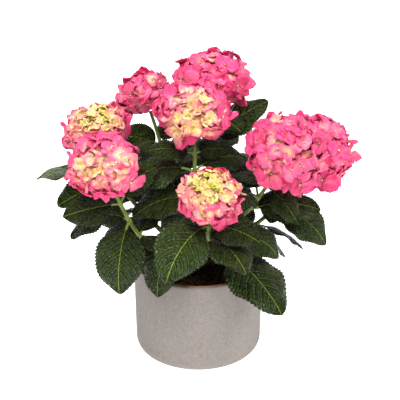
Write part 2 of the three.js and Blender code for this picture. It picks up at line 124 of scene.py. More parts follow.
def make_piece(name, points, faces, finishes, nodes, slot, shades=None, maps=None):
    """Puts points (mm) and faces into one mesh that rides on the plant's body and stands for CAD
    nodes. shades is each face's number in the list of finishes; maps are UV maps by name, with one
    pair of numbers for each point."""
    mesh = bpy.data.meshes.new(name)
    corner = np.ones(faces.shape, bool)
    corner[:, 3] = faces[:, 2] != faces[:, 3]
    loops = faces[corner]
    sizes = corner.sum(1)
    mesh.vertices.add(len(points))
    mesh.vertices.foreach_set("co", (points * MM).astype(np.float32).ravel())
    mesh.loops.add(len(loops))
    mesh.loops.foreach_set("vertex_index", loops.astype(np.int32))
    mesh.polygons.add(len(faces))
    mesh.polygons.foreach_set("loop_start", (np.cumsum(sizes) - sizes).astype(np.int32))
    mesh.polygons.foreach_set("use_smooth", np.ones(len(faces), bool))
    if shades is not None:
        mesh.polygons.foreach_set("material_index", shades.astype(np.int32))
    mesh.update(calc_edges=True)
    for map_name, places in (maps or {}).items():
        layer = mesh.uv_layers.new(name=map_name)
        layer.uv.foreach_set("vector", places[loops].astype(np.float32).ravel())
    for material in finishes:
        mesh.materials.append(material)
    made = added(name, mesh)
    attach(made, "root")
    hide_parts(*nodes)


def make_plain(name, rings, material, nodes, slot):
    """A piece of one finish, skinned over rings of points."""
    points, faces, _, _ = skin(rings)
    make_piece(name, points, faces, [material], nodes, slot)


def math_node(operation, swapped=False):
    """A method that adds a Math node over a Shade and another number, or over the two swapped."""
    def method(self, other):
        pair = (other, self) if swapped else (self, other)
        return self.maths(operation, *pair)
    return method


class Shade:
    """A socket of a material as a number: + - * / and ** add Math nodes."""

    def __init__(self, tree, socket=None):
        self.tree, self.socket = tree, socket

    def node(self, kind, inputs=(), output=0, **settings):
        """Adds a node: its settings first, then its inputs, by name or number."""
        made = self.tree.nodes.new(kind)
        for key, value in settings.items():
            setattr(made, key, value)
        for key, value in dict(inputs).items():
            if isinstance(value, Shade):
                self.tree.links.new(value.socket, made.inputs[key])
            else:
                made.inputs[key].default_value = value
        return Shade(self.tree, made.outputs[output])

    def maths(self, operation, *values):
        """One Math node over the values."""
        return self.node("ShaderNodeMath", dict(enumerate(values)), operation=operation)

    __add__, __radd__ = math_node("ADD"), math_node("ADD", True)
    __sub__, __rsub__ = math_node("SUBTRACT"), math_node("SUBTRACT", True)
    __mul__, __rmul__ = math_node("MULTIPLY"), math_node("MULTIPLY", True)
    __truediv__, __pow__ = math_node("DIVIDE"), math_node("POWER")

    def __abs__(self):
        return self.maths("ABSOLUTE", self)

    def fraction(self):
        """What is left over the whole number below it."""
        return self.maths("FRACT", self)

    def step(self, low, high):
        """0 below low, 1 above high, and a smooth rise between them."""
        inputs = {"Value": self, "From Min": low, "From Max": high, "To Min": 0.0, "To Max": 1.0}
        return self.node("ShaderNodeMapRange", inputs, interpolation_type="SMOOTHSTEP")

    def mix(self, one, other):
        """The colour one where this is 0 and the other where it is 1."""
        return self.node("ShaderNodeMix", {0: self, 6: one, 7: other}, output=2, data_type="RGBA")

    def part(self, number):
        """One number of a vector: 0, 1 or 2."""
        return self.node("ShaderNodeSeparateXYZ", {0: self}, output=number)

    def noise(self, scale, detail):
        """Cloudy noise, about 0.5 in the middle, over this vector times the scale."""
        inputs = {"Vector": self, "Scale": scale, "Detail": detail}
        return self.node("ShaderNodeTexNoise", inputs)

    def bump(self, strength, distance):
        """The normal of a surface that this raises by up to the distance, in metres."""
        inputs = {"Height": self, "Strength": strength, "Distance": distance}
        return self.node("ShaderNodeBump", inputs)


def colour(red, green, blue):
    """A colour as seen on a screen, 0 to 255, turned into the linear light that shaders use."""
    seen = np.array([red, green, blue]) / 255
    light = np.where(seen <= 0.04045, seen / 12.92, ((seen + 0.055) / 1.055) ** 2.4)
    return (*(float(x) for x in light), 1.0)


def finish(name, paint=None, **constants):
    """A material whose constant sockets are set on the shader itself. paint(at) is given the piece's
    Object coordinates and returns the sockets that vary over the surface."""
    material = bpy.data.materials.new(name)
    material.use_nodes = True
    tree = material.node_tree
    shader = tree.nodes["Principled BSDF"]
    for key, value in constants.items():
        shader.inputs[key.replace("_", " ")].default_value = value
    if paint:
        at = Shade(tree).node("ShaderNodeTexCoord", output=3)
        for key, shade in paint(at).items():
            tree.links.new(shade.socket, shader.inputs[key])
    return material


def glaze(at):
    """Warm grey glaze with cloudy tone, dark and pale specks, and bare brown clay over the lip and
    inside."""
    x, y, z = at.part(0), at.part(1), at.part(2)
    radius = (x * x + y * y) ** 0.5
    cloud = at.noise(9.0, 3.0)
    mottle = at.noise(170.0, 4.0)
    body = (0.5 * cloud + 0.5 * mottle).step(0.38, 0.62).mix(colour(128, 121, 116), colour(137, 130, 125))
    dark = at.noise(420.0, 1.0).step(0.65, 0.71)
    pale = at.noise(520.0, 1.0).step(0.70, 0.76)
    specked = (pale * 0.35).mix((dark * 0.55).mix(body, colour(92, 80, 72)), colour(206, 200, 192))
    inside = (1 - radius.step(0.0875, 0.0895)) * z.step(0.009, 0.011)
    over = z.step(0.1408, 0.1424)
    bare = inside.maths("MAXIMUM", inside, over)
    grain = at.noise(700.0, 3.0)
    return {"Base Color": bare.mix(specked, colour(118, 92, 72)),
            "Roughness": 0.72 + 0.2 * cloud,
            "Normal": (grain + 0.6 * dark).bump(0.25, 0.0003)}


lip = POT_WALL / 2
inner_corner = POT_CORNER - POT_WALL
inner_base = POT_BASE_RADIUS - POT_WALL
pot_profile = np.concatenate([
    [[0, 0]],
    straight((0, 0), (POT_BASE_RADIUS - POT_CORNER, 0), 3),
    arc(POT_BASE_RADIUS - POT_CORNER, POT_CORNER, POT_CORNER, -90, 0, LIP_STEPS),
    straight((POT_BASE_RADIUS, POT_CORNER), (POT_RIM_RADIUS, POT_HEIGHT - lip), 12),
    arc(POT_RIM_RADIUS - lip, POT_HEIGHT - lip, lip, 0, 180, LIP_STEPS),
    straight((POT_RIM_RADIUS - POT_WALL, POT_HEIGHT - lip), (inner_base, POT_FLOOR + inner_corner), 6),
    arc(inner_base - inner_corner, POT_FLOOR + inner_corner, inner_corner, 0, -90, 7),
    [[0, POT_FLOOR]]])
stoneware = finish("stoneware", glaze, Specular_IOR_Level=0.3)
make_plain("glazed_pot", revolved(pot_profile, POT_SIDES), stoneware, ["pot"], "stoneware")

# ---------------------------------------- compost
# The pot is filled to 17 mm under the rim with dark bark compost. It is one closed body that keeps
# just off the pot's wall, with a crumbly top and loose crumbs and slivers of bark lying on it.
GAP = 0.3  # air between two pieces that sit against each other
SOIL_SIDES = 160
CRUMBLE_FROM = 20  # the even top under the woody foot ends at this radius
CRUMBS = 900
CRUMB_RING = (26, 54)  # radius where loose crumbs begin, and how much further they lie
LUMP_SIDES = 6
scatter = np.random.default_rng(5)


def ripple(points, length, seed):
    """A smooth uneven field, mostly within -1 and 1: 2.2 times the mean of ten waves about one length
    long, whose directions and phases come from the seed."""
    rng = np.random.default_rng(seed)
    ways = rng.normal(size=(10, 3))
    ways *= 2 * np.pi / length * rng.uniform(0.6, 1.5, (10, 1)) / np.linalg.norm(ways, axis=1)[:, None]
    return np.sin(points @ ways.T + rng.uniform(0, 2 * np.pi, 10)).mean(-1) * 2.2


def earth(at):
    """Nearly black, damp compost, browner on its fibres."""
    fibres = at.noise(260.0, 4.0)
    return {"Base Color": fibres.step(0.42, 0.72).mix(colour(30, 22, 13), colour(84, 64, 43)),
            "Normal": at.noise(500.0, 3.0).bump(0.6, 0.0008)}


compost = finish("compost", earth, Roughness=0.95, Specular_IOR_Level=0.15)
crumb_finish = finish("compost_crumbs", earth, Roughness=0.9, Specular_IOR_Level=0.2)
wall = POT_BASE_RADIUS - POT_WALL - GAP
soil_profile = np.concatenate([
    [[0, POT_FLOOR + GAP]],
    arc(wall - inner_corner, POT_FLOOR + GAP + inner_corner, inner_corner, -90, 0, 5),
    [[wall + 0.8, 90]],
    [[wall + 1.4, SOIL_LEVEL - 3]],
    straight((wall + 1.2, SOIL_LEVEL - 1), (0, SOIL_LEVEL), 48),
    [[0, SOIL_LEVEL]]])
rings = revolved(soil_profile, SOIL_SIDES)
top = (rings[..., 2] > SOIL_LEVEL - 2) & (np.hypot(rings[..., 0], rings[..., 1]) > CRUMBLE_FROM)
crumble = 1.3 * ripple(rings, 22, 3) + 0.9 * ripple(rings, 7, 4)
rings[..., 2] += np.where(top, crumble - 0.8, 0)
make_plain("compost_body", rings, compost, ["soil"], "compost")

lump = revolved(np.array([[0, -0.7], [0.9, -0.35], [0.75, 0.45], [0, 0.7]]), LUMP_SIDES)
spread = CRUMB_RING[0] + CRUMB_RING[1] * np.sqrt(scatter.uniform(0, 1, CRUMBS))
bearing = scatter.uniform(0, 2 * np.pi, CRUMBS)
size = scatter.uniform(0.9, 2.6, (CRUMBS, 1)) * scatter.uniform(0.5, 1.4, (CRUMBS, 3))
lumps = lump * (size[:, None, None] + scatter.uniform(-0.25, 0.25, (CRUMBS, 4, LUMP_SIDES, 1)))
tilt = scatter.uniform(0, np.pi, (CRUMBS, 1, 1))
lumps = np.stack([lumps[..., 0] * np.cos(tilt) - lumps[..., 1] * np.sin(tilt),
                  lumps[..., 0] * np.sin(tilt) + lumps[..., 1] * np.cos(tilt), lumps[..., 2]], -1)
centre = about_z(spread, bearing, SOIL_LEVEL + scatter.uniform(-0.6, 1.2, CRUMBS))
make_plain("compost_crumbs", lumps + centre[:, None, None], crumb_finish, ["soil"], "compost")

# ---------------------------------------- woody foot
# The old wood at soil level is a short flared stump with a knuckle, cut flat below. Its bark is
# grey-brown and split into upright ridges.
FOOT_CENTRE = 129
FOOT_RADIUS = 18
FOOT_FLARE = 24  # radius where it is cut at soil level
FOOT_SIDES = 96


def old_bark(at):
    """Grey-brown bark, paler on the ridges, with fine upright grain."""
    long_grain = at.node("ShaderNodeMapping", {"Vector": at, "Scale": (1.0, 1.0, 0.25)})
    ridges = long_grain.noise(190.0, 4.0)
    return {"Base Color": ridges.step(0.35, 0.68).mix(colour(22, 17, 11), colour(58, 48, 34)),
            "Normal": ridges.bump(0.7, 0.001)}


bark = finish("old_bark", old_bark, Roughness=0.9, Specular_IOR_Level=0.2)
ground = SOIL_LEVEL + GAP
foot_profile = np.concatenate([
    [[0, ground]], straight((0, ground), (FOOT_FLARE, ground), 3),
    [[FOOT_FLARE, ground], [FOOT_FLARE - 2.2, ground + 0.7], [FOOT_FLARE - 4, ground + 2]],
    arc(0, FOOT_CENTRE, FOOT_RADIUS, 14, 90, 16)])
rings = revolved(foot_profile, FOOT_SIDES)
outward = rings - [0, 0, FOOT_CENTRE]
outward /= np.maximum(np.linalg.norm(outward, axis=-1, keepdims=True), 1e-9)
ridged = ripple(rings * [1, 1, 0.3], 5, 8) * 0.7 + ripple(rings, 14, 9) * 0.8 - 1.0
rings = rings + outward * np.where(rings[..., 2] > ground + 0.5, ridged, 0)[..., None]
make_plain("woody_stump", rings, bark, ["woody_foot"], "bark")

# ---------------------------------------- shoots
# Thirteen shoots leave the stump, eight to a bloom and five low leafy ones. Each is a tapering stem
# on a cubic curve, swollen where a pair of leaves sits, corky brown at its foot and green above.
STEM_RADIUS = 3.8
STEM_TIP_RADIUS = 2.5
STEM_PULL = (0.38, 0.34)  # how far the first and last directions hold, over the stem's span
STEM_END = 0.7  # how far under a bloom's middle its stem ends, over the bloom's depth
NODE_SWELLING = 0.38  # how much thicker a stem is at a pair of leaves
NODE_SPREAD = 0.014  # and how far along the stem that reaches
SHOOTS = {
    # name: (azimuth, rise) at the foot, the end, (wide, deep) of its bloom, (heading, from upright)
    # of its lean, ((height, first heading) of each pair of leaves)
    "back": ((60, 72), (21, 75, 393), (59, 47), (70, 8),
             ((0.34, 120), (0.48, 200), (0.62, 255), (0.72, 21), (0.86, 130))),
    "top": ((250, 76), (-6, -33, 380), (57, 43), (260, 8),
            ((0.34, 60), (0.48, 196), (0.70, 211), (0.84, 180))),
    "back_left": ((135, 58), (-81, 108, 360), (45, 36), (165, 20),
                  ((0.36, 200), (0.52, 110), (0.64, 180), (0.74, 216))),
    "left": ((173, 45), (-148, 15, 340), (52, 37), (175, 16),
             ((0.40, 100), (0.60, 190), (0.72, 212), (0.82, 202))),
    "front_left": ((212, 22), (-128, -90, 325), (54, 47), (215, 22),
                   ((0.30, 160), (0.52, 60), (0.68, 255), (0.84, 207))),
    "front": ((280, 40), (16, -130, 298), (50, 37), (275, 14),
              ((0.40, 30), (0.62, 110), (0.85, 220))),
    "front_right": ((346, 56), (122, -42, 326), (60, 58), (335, 26),
                    ((0.46, 312), (0.58, 343), (0.74, 70), (0.88, 313))),
    "right": ((16, 32), (170, 44, 294), (60, 58), (15, 30),
              ((0.44, 349), (0.60, 338), (0.74, 60), (0.88, 330))),
    "low_right": ((318, 30), (44, -62, 205), (0, 0), (309, 25), ((0.62, 318), (0.98, 20))),
    "low_left": ((240, 44), (-34, -62, 198), (0, 0), (238, 25), ((0.60, 200), (0.98, 285))),
    "low_back": ((100, 36), (-12, 62, 218), (0, 0), (100, 25), ((0.55, 60), (0.98, 150))),
    "low_far_right": ((55, 36), (58, 62, 208), (0, 0), (48, 30), ((0.55, 350), (0.98, 80))),
    "low_far_left": ((152, 24), (-66, 48, 215), (0, 0), (150, 30), ((0.55, 100), (0.98, 190))),
}
STEM_RINGS = 72
STEM_SIDES = 12


def direction(heading, rise):
    """Unit vectors at a heading, anticlockwise from +X, and a rise above the level, in degrees."""
    heading, rise = np.radians(heading), np.radians(rise)
    return about_z(np.cos(rise), heading, np.sin(rise))


def bezier(ends, t):
    """Points of a cubic curve: the four control points weighted by the powers of t and 1 - t."""
    t = np.asarray(t, float)[..., None]
    a, b, c, d = ends
    return (1 - t) ** 3 * a + 3 * (1 - t) ** 2 * t * b + 3 * (1 - t) * t * t * c + t ** 3 * d


def stem_curve(shoot):
    """Control points of a shoot: out of the stump at its rise, and into its end along its lean."""
    (azimuth, rise), end, (_, deep), (lean, off_upright), _ = shoot
    away, axis = direction(azimuth, rise), direction(lean, 90 - off_upright)
    start = np.array([0, 0, FOOT_CENTRE]) + away * (FOOT_RADIUS + GAP)
    end = np.array(end) - STEM_END * deep * axis
    span = np.linalg.norm(end - start)
    return np.stack([start, start + STEM_PULL[0] * span * away, end - STEM_PULL[1] * span * axis, end])


def tube(path, radius, sides, sideways):
    """A round skin about a path: rings square to the path, each started off from one fixed way."""
    along = unit(np.gradient(path, axis=-2))
    across = unit(sideways - (along * sideways).sum(-1, keepdims=True) * along)
    upright = np.cross(along, across)
    turn = whole_turn(sides)[:, None]
    ring = across[..., None, :] * np.cos(turn) + upright[..., None, :] * np.sin(turn)
    return path[..., None, :] + ring * radius[..., None, None]


def stem_skin(at):
    """Brown cork low down, then green with paler patches and small dark pores."""
    length = at.node("ShaderNodeUVMap", uv_map="stem").part(0)
    patches = at.noise(60.0, 3.0)
    woody = 1 - (length + 0.5 * patches).step(0.42, 0.66)
    green = patches.step(0.3, 0.7).mix(colour(72, 88, 26), colour(108, 122, 42))
    pored = (at.noise(300.0, 1.0).step(0.66, 0.7) * 0.7).mix(green, colour(70, 58, 36))
    return {"Base Color": woody.mix(pored, colour(112, 88, 56)),
            "Normal": at.noise(240.0, 3.0).bump(0.35, 0.0006)}


curves = {name: stem_curve(shoot) for name, shoot in SHOOTS.items()}
share = np.linspace(0, 1, STEM_RINGS)
stems = []
for name, shoot in SHOOTS.items():
    thick = STEM_RADIUS + (STEM_TIP_RADIUS - STEM_RADIUS) * share
    for height, _ in shoot[4]:
        thick = thick * (1 + NODE_SWELLING * np.exp(-((share - height) / NODE_SPREAD) ** 2))
    body = tube(bezier(curves[name], share), thick, STEM_SIDES, direction(shoot[0][0] + 90, 0))
    body[0], body[-1] = body[1].mean(0), body[-2].mean(0)
    stems.append(body)
points, faces, _, (ring, place) = skin(np.stack(stems))
stem_map = np.stack([ring / (STEM_RINGS - 1), place / STEM_SIDES], -1)
green_stem = finish("green_stem", stem_skin, Roughness=0.5, Specular_IOR_Level=0.3)
make_piece("stems", points, faces, [green_stem], [f"stem_{name}" for name in SHOOTS], "green_stem",
           maps={"stem": stem_map})

# ---------------------------------------- leaves
# Leaves stand in opposite pairs up each shoot. A leaf is an ovate, pointed, toothed blade on a
# short stalk, folded a little along a pale midrib, arched down to its tip and quilted between its
# side veins: glossy dark green above, dull and paler below.
PETIOLE = 0.16  # share of a leaf's length that is its stalk
PETIOLE_RADIUS = 1.7
LEAF_BREADTH = 0.64  # over the whole length
BLADE_ROOT = 0.55  # powers of the blade's outline towards its root and its tip
BLADE_TIP = 0.8
widest = BLADE_ROOT / (BLADE_ROOT + BLADE_TIP)
BLADE_WIDEST = widest ** BLADE_ROOT * (1 - widest) ** BLADE_TIP
LEAF_FOLD = 0.25  # rise of a blade's two halves from its midrib
LEAF_ARCH = 0.35  # fall of its margins
CHOSEN = {
    # (shoot, pair, side): (heading, rise, length, fall, roll); these are placed first, in order
    ("front", 2, 0): (235, 15, 120, 80, -30),
    ("front", 2, 1): (330, 15, 80, 40, 35),
    ("low_right", 0, 0): (310, 0, 138, 45, 5),
    ("front_left", 2, 0): (255, -15, 115, 90, -10),
    ("front_right", 3, 0): (320, -20, 72, 35, 10),
    ("front_right", 1, 0): (15, 20, 110, 45, 25),
    ("right", 1, 0): (350, 10, 104, 80, 30),
    ("right", 0, 0): (0, 0, 85, 45, -15),
    ("low_right", 1, 0): (355, 25, 85, 95, 30),
    ("back", 3, 0): (10, 50, 107, 30, 20),
    ("front_left", 3, 0): (195, 0, 82, 15, -50),
    ("front_left", 2, 1): (150, 20, 55, 60, -50),
    ("top", 2, 0): (185, 25, 125, 90, -15),
    ("low_left", 1, 0): (245, 0, 92, 95, 0),
    ("left", 3, 0): (197, 18, 110, 40, 40),
    ("left", 2, 0): (205, 10, 100, 25, -20),
    ("left", 1, 0): (205, -10, 105, 30, 0),
    ("top", 3, 0): (195, 28, 74, 40, -15),
    ("top", 3, 1): (30, 15, 52, 40, 45),
    ("top", 2, 1): (25, 38, 92, 75, 25),
    ("back_left", 3, 0): (200, 35, 70, 30, -75),
    ("back_left", 3, 1): (60, 60, 62, 20, 0),
    ("top", 1, 0): (196, 18, 98, 60, -20),
    ("top", 1, 1): (300, 24, 86, 60, 0),
    ("back", 2, 0): (240, 36, 86, 50, 0),
    ("front_left", 1, 0): (60, 40, 52, 30, 0),
    ("front_left", 1, 1): (320, 20, 62, 60, 0),
}
RULE_LENGTHS = (118, 112, 98, 78, 78)
RULE_RISES = (14, 26, 34, 38, 38)
RULE_FALLS = (70, 66, 60, 54, 54)
CHOSEN_TURNS = ((0, 0), (0, 7), (0, -7), (9, 0), (-9, 0), (9, 7), (-9, 7), (9, -7), (-9, -7),
                (0, 14), (18, 0), (-18, 0), (18, 10), (-18, 10), (0, -14))
RULE_SIZES = (1, 0.82, 0.66)
RULE_TURNS = (0, 14, -14, 28, -28, 42, -42, 56, -56)
RULE_RAISES = (0, 12, -12, 24)
LEAF_AIR = 5  # nearest that two leaves come, sampled on a grid
LEAF_NEAR = 11  # nearer than this, a leaf keeps to one side of the other
LEAF_FAR = 8  # leaves further apart, over their reach, aren't compared
LIMB_AIR = 9.5  # leaf to the middle line of a stem
BLOOM_AIR = 3
POT_AIR = 4
SOIL_AIR = 5
GROUND_AIR = 6
HANG = 38  # how far below the rim a leaf of the rule may hang, behind
KEEP_UP = 55  # and how far over the rim it stays, in front
SAMPLES_ALONG = 16
SAMPLES_ACROSS = 9
LINE_POINTS = 45  # along a stem's middle line
PAIR_ROWS = 2  # rows at a leaf's foot not compared with the other of its pair
STEM_ROWS = 3  # nor with its own stem
QUILT = 1.8  # how far a blade bulges between its veins, on a leaf of the next length
QUILT_LENGTH = 110
WAVE = 2.8  # and how far its margins wave
BLADE_HALF_THICKNESS = 0.3
TEETH = 20
TOOTH_BAND = 0.14  # share of a half blade that the teeth reach
TOOTH_DEPTH = 0.065  # over the half blade's breadth
LEAF_COLUMNS = 10  # on each half
STALK_ROWS = 6
VEINS = 8


class Draws:
    """A Park-Miller generator, so that the rule draws the same numbers here as in the part."""

    def __init__(self, seed):
        self.seed = seed

    def __call__(self, low, high):
        self.seed = self.seed * 16807 % 2147483647
        return low + (high - low) * self.seed / 2147483647


def half_breadth(share):
    """Half a blade's breadth at a share of its length, over its full breadth: ovate, then pointed."""
    share = np.clip(share, 0, 1)
    return 0.5 * share ** BLADE_ROOT * (1 - share) ** BLADE_TIP / BLADE_WIDEST


def midrib(leaf, s):
    """Points and directions along a leaf, from 0 on the stem to 1 at its tip. Its pitch falls evenly,
    so the midrib is an arc of a circle in an upright plane, and roll turns the blade about it."""
    rise, fall, heading, roll = (np.radians(leaf[key])[..., None]
                                 for key in ("rise", "fall", "heading", "roll"))
    length = np.asarray(leaf["length"])[..., None]
    pitch = rise - fall * s
    out = length * (np.sin(rise) - np.sin(pitch)) / fall
    up = length * (np.cos(pitch) - np.cos(rise)) / fall
    flat = 0 * pitch
    point = about_z(out, heading, up) + np.asarray(leaf["base"])[..., None, :]
    along = direction(np.degrees(heading), np.degrees(pitch))
    level = np.stack([flat - np.sin(heading), flat + np.cos(heading), flat], -1)
    above = np.cross(along, level)
    across = level * np.cos(roll)[..., None] + above * np.sin(roll)[..., None]
    return point, across, np.cross(along, across)


def sampled(leaf):
    """A grid of points over the blade, with the normal at each row, used to keep leaves apart."""
    share = 0.02 + 0.98 * np.arange(SAMPLES_ALONG) / (SAMPLES_ALONG - 1)
    side = np.linspace(-1, 1, SAMPLES_ACROSS)
    point, across, normal = midrib(leaf, PETIOLE + (1 - PETIOLE) * share)
    half = (LEAF_BREADTH * leaf["length"] * half_breadth(share))[:, None, None]
    side = side[None, :, None]
    lift = half * (LEAF_FOLD * np.abs(side) - LEAF_ARCH * side * side)
    grid = point[:, None] + across[:, None] * half * side + normal[:, None] * lift
    leaf["grid"] = grid
    leaf["normals"] = np.repeat(normal, SAMPLES_ACROSS, 0)
    leaf["middle"] = grid.reshape(-1, 3).mean(0)
    leaf["reach"] = np.linalg.norm(grid - leaf["middle"], axis=-1).max()
    return leaf


def leaves_meet(leaf, other):
    """True where two leaves come too near, or where one has near points on both sides of the other."""
    if np.linalg.norm(leaf["middle"] - other["middle"]) > leaf["reach"] + other["reach"] + LEAF_FAR:
        return False
    first = PAIR_ROWS if (leaf["shoot"], leaf["pair"]) == (other["shoot"], other["pair"]) else 0
    own, theirs = leaf["grid"][first:].reshape(-1, 3), other["grid"].reshape(-1, 3)
    apart = own[:, None] - theirs
    distance = np.linalg.norm(apart, axis=2)
    nearest = distance.argmin(1)
    least = distance.min(1)
    if least.min() < LEAF_AIR:
        return True
    rows = np.arange(len(own))
    height = (apart[rows, nearest] * other["normals"][nearest]).sum(1)[least < LEAF_NEAR]
    return bool((height > 0).any() and (height < 0).any())


def in_bloom(name, points):
    """True for points inside a bloom's ellipsoid, or within its air."""
    _, end, (wide, deep), (lean, off_upright), _ = SHOOTS[name]
    away = points - np.array(end)
    up = away @ direction(lean, 90 - off_upright)
    out = np.sqrt(np.maximum(0, (away * away).sum(-1) - up * up))
    return (up / (deep + BLOOM_AIR)) ** 2 + (out / (wide + BLOOM_AIR)) ** 2 < 1


def leaf_fits(leaf, placed):
    """True where a leaf has its space to itself, clear of the pot, stems, blooms and leaves."""
    points = leaf["grid"].reshape(-1, 3)
    x, y, z = points.T
    radius = np.hypot(x, y)
    inner = POT_RIM_RADIUS - POT_WALL - POT_AIR
    in_pot = ((z < POT_HEIGHT + POT_AIR) & (radius > inner) & (radius < POT_RIM_RADIUS + POT_AIR)
              | (z < SOIL_LEVEL + SOIL_AIR) & (radius <= inner) | (z < GROUND_AIR))
    hangs_low = ((z < POT_HEIGHT) & (y < 0) | (z < POT_HEIGHT - HANG)
                 | (z < POT_HEIGHT + KEEP_UP) & (y < -POT_RIM_RADIUS))
    if in_pot.any() or leaf["by_rule"] and hangs_low.any():
        return False
    for name in SHOOTS:
        if SHOOTS[name][2][0] and in_bloom(name, points).any():
            return False
        own = leaf["grid"][STEM_ROWS if name == leaf["shoot"] else 0:].reshape(-1, 1, 3)
        if np.linalg.norm(own - stem_lines[name], axis=2).min() < LIMB_AIR:
            return False
    return not any(leaves_meet(leaf, other) for other in placed)


def grow_leaves():
    """Every leaf: the chosen ones first, then a pair at each height by the rule. One that touches
    something is turned, raised or made smaller step by step, and then left out."""
    waiting = [(name, pair, side, height, heading) for name, shoot in SHOOTS.items()
               for pair, (height, heading) in enumerate(shoot[4]) for side in (0, 1)]
    order = list(CHOSEN)
    waiting.sort(key=lambda w: order.index(w[:3]) if w[:3] in CHOSEN else len(order))
    placed = []
    for name, pair, side, height, heading in waiting:
        by_rule = (name, pair, side) not in CHOSEN
        if by_rule:
            turned = heading + 180 * side + draw(-12, 12)
            rise = RULE_RISES[pair] + draw(-8, 8)
            length = RULE_LENGTHS[pair] * draw(0.88, 1.06)
            fall = RULE_FALLS[pair] + draw(-10, 10)
            roll = draw(-12, 12)
            tries = [(t, r, s) for s in RULE_SIZES for t in RULE_TURNS for r in RULE_RAISES]
        else:
            turned, rise, length, fall, roll = CHOSEN[name, pair, side]
            tries = [(t, r, 1) for t, r in CHOSEN_TURNS]
        for turn, raised, size in tries:
            leaf = sampled({"shoot": name, "pair": pair, "by_rule": by_rule,
                            "base": bezier(curves[name], height), "heading": turned + turn,
                            "rise": rise + raised, "length": length * size, "fall": fall, "roll": roll})
            if leaf_fits(leaf, placed):
                placed.append(leaf)
                break
    return placed


def vein_phase(share, side):
    """Counts the side veins: whole numbers lie on a vein. Each leaves the midrib at about half a
    right angle and bends towards the tip."""
    return (share - 0.26 * side - 0.12 * side * side) * VEINS + 0.5


def leaf_rings(leaves, rng):
    """Rings round each leaf from its foot to its tip, over the upper face and back under. The margin
    is a saw of forward teeth, the blade bulges between side veins, and a rib stands out below."""
    stacked = {key: np.array([leaf[key] for leaf in leaves])
               for key in ("heading", "rise", "length", "fall", "roll", "base")}
    rows = np.concatenate([np.linspace(0, PETIOLE, STALK_ROWS, endpoint=False),
                           np.linspace(PETIOLE, 1, 2 * TEETH + 2)])
    point, across, normal = midrib(stacked, rows)
    length = stacked["length"][:, None, None]
    share = ((rows - PETIOLE) / (1 - PETIOLE))[None, :, None]
    spaced = np.linspace(1, -1, 2 * LEAF_COLUMNS + 1)
    power = 1 + 0.6 * np.clip(share / 0.08, 0, 1)
    side = np.sign(spaced) * np.abs(spaced) ** power
    blade = np.clip(share, 0, 1)
    rib = PETIOLE_RADIUS * (1 - 0.8 * blade)
    rib = rib * (1 + 0.35 * np.exp(-(rows / 0.02) ** 2))[None, :, None]
    half = LEAF_BREADTH * length * half_breadth(blade)
    half = np.maximum(rib, half)
    number = (np.arange(len(rows)) - STALK_ROWS)[None, :, None]
    notch = ((number % 2 == 0) & (number > 1)) * 1.0
    margin = np.clip((np.abs(side) - (1 - TOOTH_BAND)) / TOOTH_BAND, 0, 1)
    half = half * (1 - TOOTH_DEPTH * notch * margin * (blade < 0.99))
    x = half * side
    open_blade = np.clip((half - 2 * rib) / half, 0, 1)
    phase = vein_phase(share, np.abs(side))
    quilt = np.abs(np.sin(np.pi * phase)) ** 0.7 - 0.6
    between = np.clip(np.abs(side) * 5, 0, 1) * np.clip((1 - np.abs(side)) * 4, 0, 1)
    wave_phase = rng.uniform(0, 2 * np.pi, (len(leaves), 1, 1)) + np.sign(side)
    wave = np.sin(2 * np.pi * share * 2.3 + wave_phase) * side ** 2
    lift = half * (LEAF_FOLD * np.abs(side) - LEAF_ARCH * side * side)
    lift = lift * np.clip(share / 0.05, 0, 1)
    bulge = QUILT * quilt * between * length / QUILT_LENGTH
    lift = lift + open_blade * (bulge + WAVE * wave * length / QUILT_LENGTH)
    sheet = BLADE_HALF_THICKNESS * np.sqrt(np.maximum(0, 1 - side * side))
    round_rib = np.sqrt(np.maximum(0, rib ** 2 - x ** 2))
    upper = np.maximum(sheet, round_rib * (1 - open_blade))
    lower = np.maximum(sheet, round_rib)

    def surface(height):
        """The points at x across each row, raised by a height along the row's normal."""
        level = point[:, :, None] + across[:, :, None] * x[..., None]
        return level + normal[:, :, None] * height[..., None]

    over, under = surface(lift + upper), surface(lift - lower)
    rings = np.concatenate([over, under[:, :, -2:0:-1]], 2)
    side = np.broadcast_to(side, over.shape[:-1])
    sides = np.concatenate([side, side[:, :, -2:0:-1]], 2)
    return rings, rows, sides


